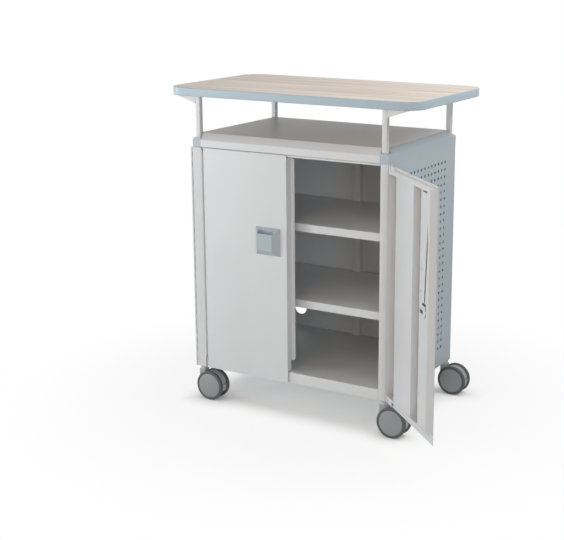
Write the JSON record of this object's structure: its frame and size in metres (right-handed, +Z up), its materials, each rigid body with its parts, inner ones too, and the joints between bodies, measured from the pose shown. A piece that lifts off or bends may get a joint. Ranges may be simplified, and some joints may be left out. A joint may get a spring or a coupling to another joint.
{
  "type": "mobile storage cabinet",
  "caption": "Mobile steel storage cabinet with a raised laminate worktop on posts, perforated sides, shelves behind paddle-handled doors, and swivelling casters.",
  "frame": {"origin": "on the floor, under the centre of the cabinet's plan", "axes": "+Z up; +X to the viewer's right when facing the doors; -Y out of the front, where the doors open"},
  "size_m": [1.1002, 0.7688, 1.067],
  "materials": {
    "laminate": "satin pale wood-grain laminate",
    "edge_blue": "matt blue-grey edge band",
    "paint_blue": "fine-textured blue-grey powder coat",
    "paint_grey": "fine-textured light grey powder coat",
    "steel": "plain zinc-plated steel",
    "handle_blue": "matt blue-grey moulding",
    "caster_grey": "matt mid grey moulding",
    "wheel_grey": "matt dark grey tread"
  },
  "bodies": {
    "cabinet": {"worktop_panel": "laminate", "worktop_edge_band": "edge_blue", "upper_post_front_left": "paint_grey", "upper_post_front_right": "paint_grey", "upper_post_back_left": "paint_grey", "upper_post_back_right": "paint_grey", "top_bracket_front_left": "paint_grey", "top_bracket_front_right": "paint_grey", "top_bracket_back_left": "paint_grey", "top_bracket_back_right": "paint_grey", "corner_cap_front_left": "paint_blue", "corner_cap_front_right": "paint_blue", "corner_cap_back_left": "paint_blue", "corner_cap_back_right": "paint_blue", "corner_post_front_left": "paint_grey", "corner_post_front_right": "paint_grey", "corner_post_back_left": "paint_grey", "corner_post_back_right": "paint_grey", "deck_panel": "paint_grey", "top_rail": "paint_grey", "side_panel_left": "paint_blue", "side_panel_right": "paint_blue", "bottom_panel": "paint_grey", "back_panel": "paint_grey", "back_post": "paint_grey", "shelf_upper": "paint_grey", "shelf_lower": "paint_grey", "shelf_rail_upper_left": "paint_grey", "shelf_rail_upper_right": "paint_grey", "shelf_rail_lower_left": "paint_grey", "shelf_rail_lower_right": "paint_grey", "left_hinge_fixed_leaf": "paint_grey", "left_hinge_pin": "steel", "right_hinge_fixed_leaf": "paint_grey", "right_hinge_pin": "steel"},
    "left_door": {"left_door_skin": "paint_grey", "left_door_pan": "paint_grey", "left_door_stiffener": "paint_grey", "left_door_latch_channel": "paint_grey", "left_door_hinge_leaf": "paint_grey", "left_handle_bezel": "handle_blue", "left_door_astragal": "paint_grey"},
    "left_paddle": {"left_handle_paddle": "handle_blue"},
    "left_rod": {"left_latch_rod": "steel"},
    "right_door": {"right_door_skin": "paint_grey", "right_door_pan": "paint_grey", "right_door_stiffener": "paint_grey", "right_door_latch_channel": "paint_grey", "right_door_hinge_leaf": "paint_grey", "right_handle_bezel": "handle_blue"},
    "right_paddle": {"right_handle_paddle": "handle_blue"},
    "right_rod": {"right_latch_rod": "steel"},
    "caster_front_left": {"caster_front_left_housing": "caster_grey"},
    "wheels_front_left": {"caster_front_left_wheels": "wheel_grey"},
    "caster_front_right": {"caster_front_right_housing": "caster_grey"},
    "wheels_front_right": {"caster_front_right_wheels": "wheel_grey"},
    "caster_back_left": {"caster_back_left_housing": "caster_grey"},
    "wheels_back_left": {"caster_back_left_wheels": "wheel_grey"},
    "caster_back_right": {"caster_back_right_housing": "caster_grey"},
    "wheels_back_right": {"caster_back_right_wheels": "wheel_grey"}
  },
  "joints": [
    {"name": "left_door_hinge", "type": "hinge", "parent": "cabinet", "child": "left_door", "pos_m": [-0.368, -0.244, 0.493], "axis": [0, 0, -1], "range_deg": [0, 180]},
    {"name": "right_door_hinge", "type": "hinge", "parent": "cabinet", "child": "right_door", "pos_m": [0.368, -0.244, 0.493], "axis": [0, 0, 1], "range_deg": [-137.8, 42.2]},
    {"name": "left_paddle_tip", "type": "hinge", "parent": "left_door", "child": "left_paddle", "pos_m": [-0.0715, -0.263, 0.5625], "axis": [1, 0, 0], "range_deg": [0, 20], "stiffness_Nm_per_rad": 0.4},
    {"name": "right_paddle_tip", "type": "hinge", "parent": "right_door", "child": "right_paddle", "pos_m": [0.60041, -0.42909, 0.5625], "axis": [-0.7408, 0.6717, 0], "range_deg": [0, 20], "stiffness_Nm_per_rad": 0.4},
    {"name": "left_rod_lift", "type": "slide", "parent": "left_door", "child": "left_rod", "axis": [0, 0, 1], "range_m": [0, 0.01083]},
    {"name": "right_rod_lift", "type": "slide", "parent": "right_door", "child": "right_rod", "axis": [0, 0, 1], "range_m": [0, 0.01083]},
    {"name": "caster_front_left_swivel", "type": "hinge", "parent": "cabinet", "child": "caster_front_left", "pos_m": [-0.349, -0.23, 0.1], "axis": [0, 0, 1], "continuous": true},
    {"name": "wheels_front_left_roll", "type": "hinge", "parent": "caster_front_left", "child": "wheels_front_left", "pos_m": [-0.313, -0.23, 0.0508], "axis": [0, 1, 0], "continuous": true},
    {"name": "caster_front_right_swivel", "type": "hinge", "parent": "cabinet", "child": "caster_front_right", "pos_m": [0.349, -0.23, 0.1], "axis": [0, 0, 1], "continuous": true},
    {"name": "wheels_front_right_roll", "type": "hinge", "parent": "caster_front_right", "child": "wheels_front_right", "pos_m": [0.385, -0.23, 0.0508], "axis": [0, 1, 0], "continuous": true},
    {"name": "caster_back_left_swivel", "type": "hinge", "parent": "cabinet", "child": "caster_back_left", "pos_m": [-0.349, 0.23, 0.1], "axis": [0, 0, 1], "continuous": true},
    {"name": "wheels_back_left_roll", "type": "hinge", "parent": "caster_back_left", "child": "wheels_back_left", "pos_m": [-0.313, 0.23, 0.0508], "axis": [0, 1, 0], "continuous": true},
    {"name": "caster_back_right_swivel", "type": "hinge", "parent": "cabinet", "child": "caster_back_right", "pos_m": [0.349, 0.23, 0.1], "axis": [0, 0, 1], "continuous": true},
    {"name": "wheels_back_right_roll", "type": "hinge", "parent": "caster_back_right", "child": "wheels_back_right", "pos_m": [0.385, 0.23, 0.0508], "axis": [0, 1, 0], "continuous": true}
  ],
  "couplings": [
    {"joint": "left_rod_lift", "follows": "left_paddle_tip", "m_per_rad": 0.031},
    {"joint": "right_rod_lift", "follows": "right_paddle_tip", "m_per_rad": 0.031}
  ]
}
